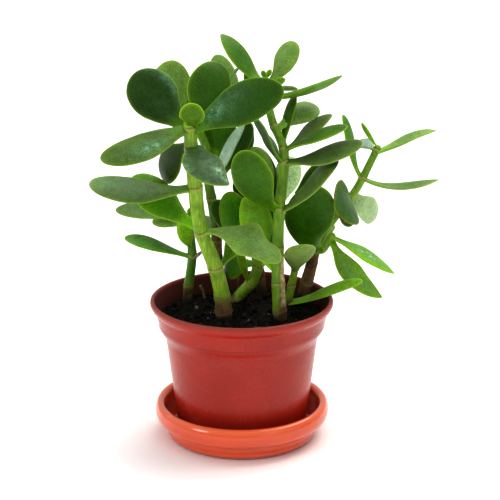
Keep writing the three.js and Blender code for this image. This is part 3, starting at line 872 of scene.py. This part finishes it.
def framesOf(node):
    # where a CAD leaf runs: the middle, the way across, half the width, and how far its two sides bulge
    first, rings, last = ringsOf(node, stemGap)
    widest = max(range(len(rings)), key=lambda k: np.ptp(rings[k], axis=0).max())
    wide = rings[widest]
    margin = max(range(4), key=lambda i: np.linalg.norm(wide[i] - wide[i + 4]))
    wide = np.roll(wide, -margin, axis=0)
    if np.linalg.norm(wide[1] - wide[3]) < np.linalg.norm(wide[5] - wide[7]):
        margin += 4
    rings = np.roll(rings, -margin, axis=1)  # the margins are then at 0 and 4, the top at 2, underneath at 6
    middle = (rings[:, 0] + rings[:, 4]) / 2
    across = rings[:, 0] - rings[:, 4]
    half = np.linalg.norm(across, axis=1) / 2
    line = np.concatenate([[first], middle, [last]])
    heading = unit(line[2:] - line[:-2])
    up = unit(np.cross(heading, unit(across)))
    over = ((rings[:, 2] - middle) * up).sum(1)
    below = ((rings[:, 6] - middle) * up).sum(1)
    return {"start": first, "end": last, "middle": middle, "across": unit(across), "half": half,
            "thick": over - below, "crown": (over + below) / 2}


def framesOver(start, tip, wide, face):
    # the same for a leaf that is only in smallLeaf, given in millimetres
    arch, neck, belly = smallLeaf["arch"], smallLeaf["neck"], smallLeaf["belly"]
    start, tip = np.array(start, float) * mm, np.array(tip, float) * mm
    chord = tip - start
    heading = unit(chord)
    upper = unit(np.array(face, float) - heading * (np.array(face, float) @ heading))
    share = np.array([0.05, 0.17, 0.31, 0.45, 0.59, 0.73, 0.86, 0.955])
    bow = 4 * arch * np.linalg.norm(chord) * (share * (1 - share))[:, None] * upper
    spread = np.where(share < belly, neck + (1 - neck) * np.sin(math.pi / 2 * share / belly) ** 2,
                      np.sqrt(np.maximum(1 - ((share - belly) / (1 - belly)) ** 2, 0)))
    thick = (1.5 + wide * 0.12) * mm * np.sqrt(0.45 + 0.55 * spread) * np.minimum(1, (1.06 - share) * 4)
    return {"start": start, "end": tip, "middle": start + share[:, None] * chord + bow,
            "across": np.tile(np.cross(upper, heading), (len(share), 1)), "half": wide * mm / 2 * spread,
            "thick": thick, "crown": -0.1 * thick}


def rimGap(at, wide, total, spots):
    # how far each spot of the leaf, laid flat, is from its outline
    outline = np.concatenate([np.stack([at, wide], 1), [[total, 0]], np.stack([at, -wide], 1)[::-1]])
    a, b = outline[:-1], outline[1:]
    side = b - a
    t = np.clip(((spots[:, None] - a[None]) * side[None]).sum(2) / (side ** 2).sum(1)[None], 0, 1)
    return np.linalg.norm(spots[:, None] - a[None] - t[..., None] * side[None], axis=2).min(1)


def leafMarks(look, along, aside, upper, rim):
    # what the skin's shader reads at each point
    marks = {"along": along, "upper": upper, "rim": rim}
    bloom = np.full(len(along), look.get("bloom", 0.0))
    # each of these spots adds painted sheen
    for place, side, long, wide, strength in look.get("sheen_patches", []):
        bloom += strength * np.exp(-((along - place) / long) ** 2 - ((aside - side) / wide) ** 2)
    marks["bloom"] = bloom
    for mark, key, plain in [("shade", "shade", 1.0), ("edge", "rim", 1.0), ("red", "red", 0.0),
                             ("fresh", "fresh", 0.0)]:
        marks[mark] = np.full(len(along), look.get(key, plain))
    return marks


def leafMesh(frames, seed, look, rings, sides, root):
    rng = np.random.default_rng(seed)
    first, last = frames["start"], frames["end"]
    leaving = unit(frames["middle"][0] - first)
    line = np.concatenate([[first], frames["middle"], [last]])
    length = lengthAlong(line)
    total = length[-1]
    half, thick, crown = frames["half"], frames["thick"], frames["crown"]
    across = np.concatenate([frames["across"][:1], frames["across"], frames["across"][-1:]])

    # the rings stand closer together towards the tip
    at = 0.5 - 0.5 * np.cos(np.linspace(0.16 * math.pi, math.pi, rings + 1))
    at = ((at - at[0]) / (1 - at[0]) * total)[:-1]
    share = at / total
    middle = through(length, line, at)
    # widths and thicknesses run through their squares, which rounds the tip
    wideSquared = through(length, np.concatenate([[half[0] ** 2 * 1.02], half ** 2, [0]]), at)
    deepSquared = through(length, np.concatenate([[thick[0] ** 2], thick ** 2, [0]]), at)
    wide, deep = np.sqrt(np.maximum(wideSquared, 1e-10)), np.sqrt(np.maximum(deepSquared, 1e-10))
    bend = through(length, np.concatenate([crown[:1], crown, [0]]), at)
    heading = unit(np.gradient(np.concatenate([middle, [last]]), axis=0)[:-1])
    sideways = through(length, across, at)
    sideways = unit(sideways - heading * (sideways * heading).sum(1, keepdims=True))
    up = np.cross(heading, sideways)

    # the two margins wander, and one may be folded: wider, then pinched in towards the tip
    edges = []
    for _ in range(2):
        a, b, c = rng.uniform(0, 6.28, 3)
        ripple = np.sin(share * 5 + a) + 0.6 * np.sin(share * 11 + b) + 0.35 * np.sin(share * 23 + c)
        edges.append(1 + leaf["wander"] * ripple)
    fold = look.get("fold", 0.0)
    pinch = 1.3 * np.exp(-((share - 0.74) / 0.11) ** 2)
    edges[0] = edges[0] + fold * (np.exp(-((share - 0.50) / 0.10) ** 2) - pinch)

    # v runs from margin to margin, w from the underside to the top
    angle = circle(sides)
    v = np.cos(angle)
    w = np.sign(np.sin(angle)) * np.abs(np.sin(angle)) ** (2 * leaf["edge"])
    widths = np.where(v[None] > 0, edges[0][:, None], edges[1][:, None]) * wide[:, None]
    groove = 0.22 * np.exp(-(v / 0.28) ** 2)[None] * (1 - smooth(0.15, 0.5, share))[:, None] * (w > 0)
    lift = deep[:, None] / 2 * w[None] * (1 - groove) + bend[:, None] * (1 - v ** 2)[None]
    wave = 0.030 * wide * np.sin(share * 7 + rng.uniform(0, 6))  # one margin rides a little higher
    wave = wave + fold * 1.6 * wide * np.exp(-((share - 0.55) / 0.14) ** 2)
    lift = lift + wave[:, None] * (v * np.abs(v))[None]
    aside = widths * v[None]
    points = middle[:, None] + sideways[:, None] * aside[..., None] + up[:, None] * lift[..., None]

    flat = np.stack([np.repeat(at, sides), (wide[:, None] * v[None]).ravel()], 1)
    rim = rimGap(at, wide, total, flat)
    count = rings + 2  # two more rings carry the foot into the stem
    foot = leaving * root
    grid = np.concatenate([points[0] - foot, points[0] - foot * 0.45, points.reshape(-1, 3),
                           [middle[0] - foot, last]])
    marks = leafMarks(look,
                      along=np.concatenate([np.zeros(2 * sides), np.repeat(share, sides), [0, 1]]),
                      aside=np.concatenate([np.tile(v, count), [0, 0]]),
                      upper=np.concatenate([np.tile(np.sin(angle), count), [0, 0]]),
                      rim=np.concatenate([rim[:sides], rim[:sides], rim, [0.002, 0]]))
    return grid, tubeFaces(count, sides), marks


leafFinish = {tone: leafSkin(tone, colours) for tone, colours in leaf["tones"].items()}
for order, (node, (tone, shade, own)) in enumerate(leaf["looks"].items()):
    points, faces, marks = leafMesh(framesOf(node), order, {"shade": shade, **own},
                                    leaf["rings"], leaf["sides"], leaf["root"] * mm)
    makePiece("jade_" + node, points, faces, leafFinish[tone], marks, replaces=[node])
print("leaves are grown:", len(leaf["looks"]))

# Leaves that the frame doesn't have, in millimetres: where each starts on its stem, its tip, its width, the
# way its face looks, its tone and how light it is. In each group, the leaves of one tone make one piece.
smallLeaf = {
    "rings": 20, "sides": 20, "root": 1.6,
    "arch": 0.05, "neck": 0.36, "belly": 0.6,  # bow, width of the foot, and where it is widest, as shares
    "buds": [
        ((-29, -20.5, 214), (-18.5, -18, 220), 6.5, (0, -1, 0.4), "bright", 0.8),
        ((-33, -17, 216), (-31, -7, 224), 7, (0, -1, 0.4), "bright", 0.8),
        ((17, 0, 233), (27.5, -6, 239), 5.5, (0, -1, 0.6), "bright", 0.9),
        ((17, 2, 231), (36, 20, 228), 4, (0, -1, 0.6), "grey", 1.0),
        ((15, 1, 238), (13, -3, 244), 3.5, (0, -1, 0.3), "bright", 0.9),
        ((15.5, 2, 238), (18.5, 3, 243.5), 3.5, (0, -1, 0.3), "bright", 0.9),
        ((90, 45, 184), (79, 43, 201), 3.4, (-0.4, -1, 0.2), "bright", 1.3),
        ((-35, 20, 143), (-33, 17, 150), 4, (0, -1, 0.4), "bright", 0.9),
        ((11, 14, 127), (15, 11, 133), 4.5, (0, -1, 0.3), "bright", 0.8),
        ((2, 32, 230), (5, 28, 238), 5, (0, -1, 0.4), "bright", 0.7),
        ((36, 14, 112), (32, 15, 118), 4, (0, -1, 0.4), "bright", 0.9),
    ],
    "young": [
        ((4, 18, 99), (-1, 8, 125), 6.5, (-0.4, -1, 0.3), "bright", 1.3),
        ((63.6, 28, 148.8), (73.2, 30, 133.8), 10, (0.2, -1, 0.2), "dark", 1.2),
        ((36, 16, 161), (51, 20, 180), 6, (-0.5, -1, 0.3), "dark", 1.4),
        ((26, -7, 196), (34, 12, 226), 8, (-0.6, -1, 0.2), "deep", 1.0),
        ((12, 40, 100), (27, 48, 128), 9, (-0.4, -1, 0.2), "dark", 1.5),
    ],
    "inner": [
        ((-13, 17, 172), (6, 19, 206), 13, (0.1, -1, 0.2), "dark", 1.3),
        ((23, -8, 128), (12, 7, 163), 20, (0.2, -1, 0.2), "deep", 0.9),
        ((9, 18, 122), (-19, 22, 153), 17, (0.1, -1, 0.2), "dark", 1.2),
        ((24, -6, 158), (6, 9, 192), 19, (-0.2, -1, 0.2), "grey", 0.62),
        ((3, 34, 176), (4, 31, 204), 9, (0.2, -1, 0.1), "dark", 1.2),
        ((25, -4, 184), (14, 20, 199), 7, (0.3, -1, 0.1), "dark", 1.4),
        ((3, 35, 150), (-4, 28, 166), 10, (0.2, -1, 0.1), "dark", 1.0),
    ],
    "far": [
        ((2, 40, 150), (14, 77, 166), 21, (0, 0.6, 1), "deep", 1.1),
        ((7, 43, 124), (-8, 79, 134), 21, (0, 0.3, 1), "grey", 0.8),
        ((8, 43, 124), (34, 70, 131), 18, (0, 0.3, 1), "deep", 1.2),
        ((1, 39, 177), (-10, 71, 184), 18, (0, 0.6, 1), "dark", 1.3),
        ((3, 36, 203), (18, 66, 208), 18, (0, 0.6, 1), "deep", 1.1),
        ((0, 36, 203), (-24, 62, 214), 17, (0, 0.6, 1), "grey", 0.9),
        ((-17, 36, 123), (-28, 68, 131), 17, (0, 0.6, 1), "deep", 1.2),
        ((-17, 36, 123), (-4, 70, 130), 16, (0, 0.6, 1), "dark", 1.4),
        ((58, 34, 134), (44, 68, 142), 20, (0, 0.6, 1), "deep", 1.1),
        ((50, 31, 119), (58, 67, 125), 18, (0, 0.6, 1), "grey", 0.9),
    ],
}

for group in ("buds", "young", "inner", "far"):
    heaps = {}
    for order, (start, tip, wide, face, tone, shade) in enumerate(smallLeaf[group]):
        made = leafMesh(framesOver(start, tip, wide, face), 90 + order, {"shade": shade},
                        smallLeaf["rings"], smallLeaf["sides"], smallLeaf["root"] * mm)
        heaps.setdefault(tone, Heap()).put(*made)
    for tone, heap in heaps.items():
        heap.make("jade_" + group + "_" + tone, leafFinish[tone], "leaf")
print("buds and far leaves are grown")

dried = {
    "rings": 26, "sides": 12,
    "dark": (0.110, 0.075, 0.040), "light": (0.330, 0.270, 0.160), "spot": (0.030, 0.022, 0.014),
    "stalks": [  # the points that each one runs through, and its thickness, in millimetres
        ([(-32.6, 21.5, 114.2), (-29, 20, 116.8), (-25.6, 18, 120)], 1.5),
        ([(-24, 33, 77), (-25.4, 33, 83), (-26.4, 32.5, 87.5), (-28, 32, 91.5)], 1.3),
        ([(-3.4, 40, 80), (-3.0, 40, 90), (-1.6, 40, 98), (0.9, 40, 105.5)], 0.9),
        ([(-21, 3, 81.5), (-17, 1, 84.5), (-11, 0.5, 84.2)], 0.6),
        ([(6, -27, 82.5), (11, -30, 83.8), (17, -29, 83.2)], 0.5),
    ],
}


def drySkin():
    # grey-brown and fibrous
    f = Finish("dry_stalk", Roughness=0.85, Specular_IOR_Level=0.15)
    streak = f.cloud(1.0, 4, 0.65, at=f.place((900, 900, 160)))
    colour = f.mix(streak.between(0.35, 0.65), dried["dark"], dried["light"])
    colour = f.mix(f.cloud(420, 3).between(0.5, 0.66) * 0.7, colour, dried["spot"])
    f.set(Base_Color=colour, Roughness=0.75 + 0.2 * streak, Normal=f.bump(streak, 0.5, 0.0006))
    return f


heap = Heap()
for route, thickness in dried["stalks"]:
    route = np.array(route, float) * mm
    length = lengthAlong(route)
    at = np.linspace(0, length[-1], dried["rings"])
    middle = through(length, route, at)
    heading = unit(np.gradient(middle, axis=0))
    side = unit(np.cross(heading, (0.2, 1, 0.1)))
    other = np.cross(heading, side)
    turn = circle(dried["sides"])
    size = thickness * mm * (1 - 0.35 * at / length[-1])[:, None] * (1 + 0.14 * np.sin(at / 0.0016)[:, None])
    size = size * (1 + 0.12 * np.cos(3 * turn))[None]
    spots = spotsRound(middle, ringRound(side, other, turn), size)
    heap.put(np.concatenate([spots, middle[:1], middle[-1:]]), tubeFaces(dried["rings"], dried["sides"]))
heap.make("dry_stalks", drySkin(), "bark_stem")
print("dry stalks are laid")

bare = [n for n, o in frame["nodes"].items() if not o.hide_render]
print("CAD pieces still showing:", bare)
